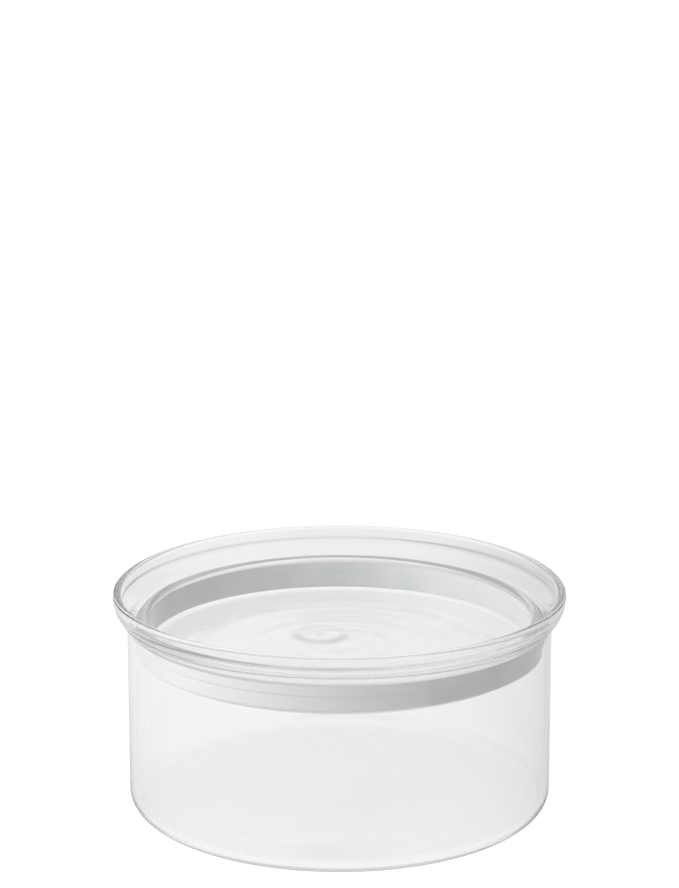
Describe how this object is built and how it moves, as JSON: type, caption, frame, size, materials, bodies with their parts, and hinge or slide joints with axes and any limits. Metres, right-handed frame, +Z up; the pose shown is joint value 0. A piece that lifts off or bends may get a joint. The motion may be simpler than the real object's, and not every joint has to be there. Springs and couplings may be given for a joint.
{
  "type": "glass storage jar with lid",
  "caption": "Low wide clear glass storage jar with a flared lip, closed by a sunk glass dish lid in a white two-tier silicone seal. Empty.",
  "frame": {"origin": "centre of the base, on the surface that the jar stands on", "axes": "+Z up along the axis of the jar; the jar, lid and seal are all turned about it"},
  "size_m": [0.1562, 0.1562, 0.0768],
  "materials": {
    "jar_glass": "clear fire-polished borosilicate glass",
    "lid_glass": "clear lathe-formed borosilicate glass with faint ripples",
    "seal_silicone": "satin white silicone with a faint green-grey cast"
  },
  "bodies": {
    "root": {"jar": "jar_glass", "lid_dish": "lid_glass", "seal_ring": "seal_silicone"}
  },
  "joints": []
}
